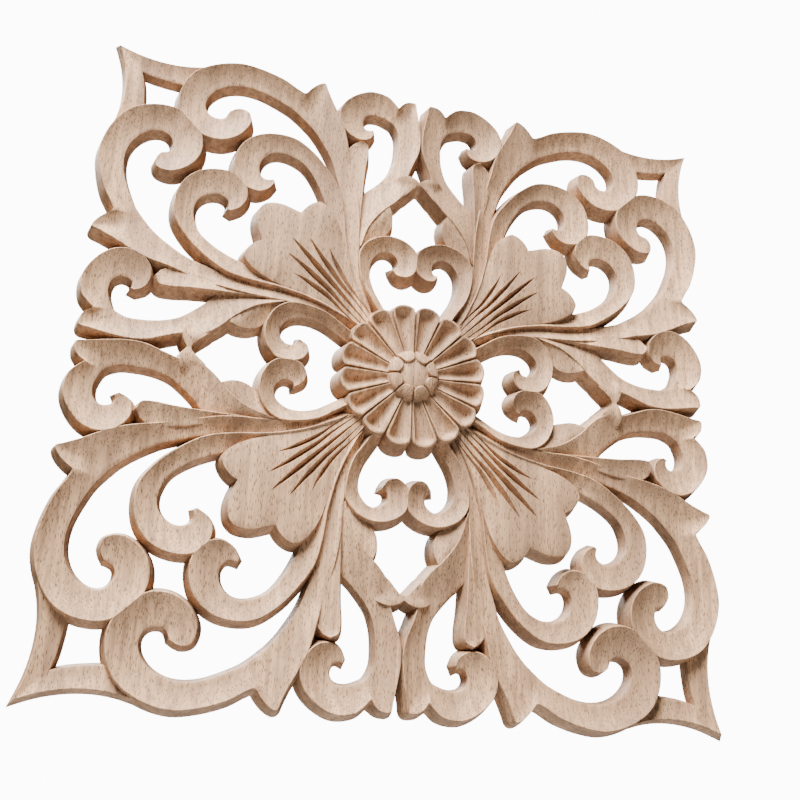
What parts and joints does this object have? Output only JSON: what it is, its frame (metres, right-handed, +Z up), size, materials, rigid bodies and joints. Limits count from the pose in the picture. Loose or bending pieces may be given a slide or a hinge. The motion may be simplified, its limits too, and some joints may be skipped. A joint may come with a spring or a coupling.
{
  "type": "carved wood applique",
  "caption": "Flat square pierced wooden carving of leaf scrolls and palmettes around a round flower, fixed by its flat back.",
  "frame": {"origin": "centre of the flat back face, behind the middle of the flower", "axes": "+Z up, +X to the right seen from the front, the carved front faces -Y and the back lies at Y = 0"},
  "size_m": [0.306, 0.0134, 0.306],
  "materials": {
    "wood": "bare carved hardwood, pale tan, matt and unfinished"
  },
  "bodies": {
    "root": {"carved_panel": "wood"}
  },
  "joints": []
}
